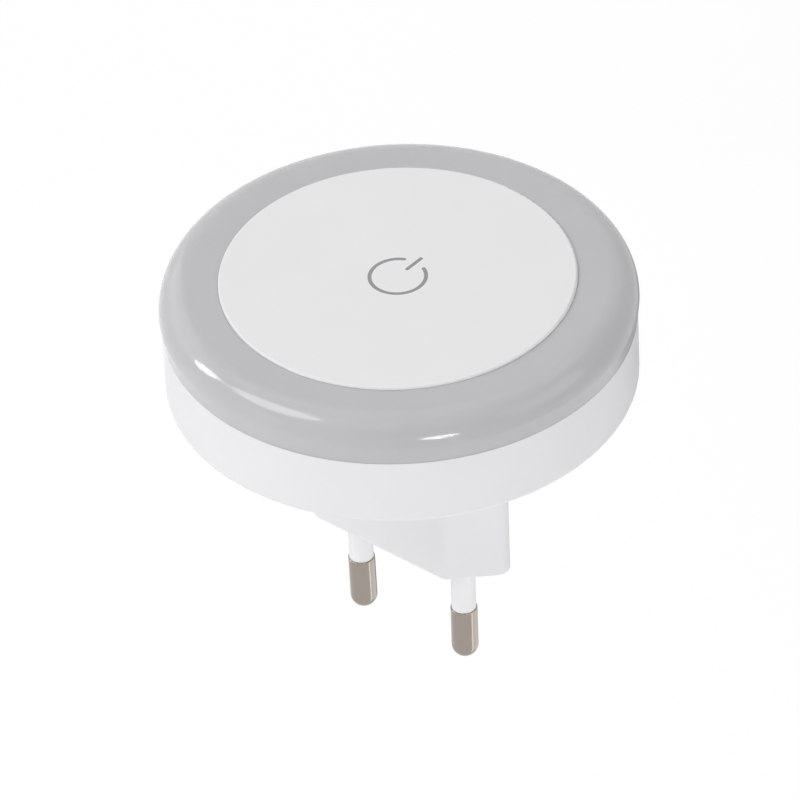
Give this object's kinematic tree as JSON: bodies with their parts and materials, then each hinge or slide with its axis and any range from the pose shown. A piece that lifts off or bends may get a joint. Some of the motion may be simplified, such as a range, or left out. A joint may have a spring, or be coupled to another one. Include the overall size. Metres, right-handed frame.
{
  "type": "plug in night light",
  "caption": "Round night light on a flat mains plug, with a frosted light ring around a white press cap.",
  "frame": {"origin": "middle of the plug's engagement face, halfway between the two pins", "axes": "+Z out of the wall towards the lit face, X along the line through the pins, +Y the way the stroke of the power mark points"},
  "size_m": [0.07, 0.07, 0.0658],
  "materials": {
    "housing_plastic": "moulded, satin",
    "nickel_plate": "nickel plated, smooth",
    "sleeve_plastic": "moulded, satin",
    "retainer_plastic": "moulded, matte",
    "screw_steel": "zinc plated",
    "live_pvc": "extruded",
    "neutral_pvc": "extruded",
    "heat_shrink": "shrunk tube",
    "board_laminate": "white solder mask",
    "film_capacitor_case": "moulded box",
    "can_aluminium": "drawn",
    "jacket_film": "shrunk film",
    "resistor_coat": "dipped coat",
    "tinned_wire": "tinned",
    "solder": "solidified, bright",
    "chip_epoxy": "moulded",
    "resistor_ceramic": "glazed",
    "led_package": "moulded",
    "phosphor": "cast silicone",
    "switch_plastic": "moulded",
    "plunger_plastic": "moulded",
    "frame_plastic": "moulded, matte",
    "spring_steel": "drawn wire",
    "frosted_plastic": "frosted, translucent",
    "cap_plastic": "moulded, satin",
    "mark_plastic": "moulded, satin"
  },
  "bodies": {
    "housing": {"rear_housing": "housing_plastic", "contact_pin_left": "nickel_plate", "contact_pin_right": "nickel_plate", "pin_sleeve_left": "sleeve_plastic", "pin_sleeve_right": "sleeve_plastic", "pin_retainer": "retainer_plastic", "retainer_screw": "screw_steel", "live_lead": "live_pvc", "neutral_lead": "neutral_pvc", "heat_shrink_sleeves": "heat_shrink", "circuit_board": "board_laminate", "film_capacitor": "film_capacitor_case", "smoothing_capacitor": "can_aluminium", "capacitor_jacket": "jacket_film", "fuse_resistor": "resistor_coat", "component_leads": "tinned_wire", "solder_joints": "solder", "controller_chip": "chip_epoxy", "bridge_rectifier": "chip_epoxy", "chip_legs": "tinned_wire", "bleed_resistors": "resistor_ceramic", "led_chips": "led_package", "led_phosphors": "phosphor", "switch_body": "switch_plastic", "switch_cover": "screw_steel", "inner_frame": "frame_plastic", "frame_screws": "screw_steel", "return_springs": "spring_steel", "diffuser_ring": "frosted_plastic"},
    "cap": {"press_cap": "cap_plastic", "power_symbol": "mark_plastic"},
    "plunger": {"switch_plunger": "plunger_plastic"}
  },
  "joints": [
    {"name": "cap_press", "type": "slide", "parent": "housing", "child": "cap", "axis": [0, 0, -1], "range_m": [0, 0.0005], "stiffness_N_per_m": 900, "springref_m": -0.001, "deforming": ["return_springs"]},
    {"name": "plunger_slide", "type": "slide", "parent": "housing", "child": "plunger", "axis": [0, 0, -1], "range_m": [0, 0.0005]}
  ],
  "couplings": [
    {"joint": "plunger_slide", "follows": "cap_press", "ratio": 1}
  ]
}
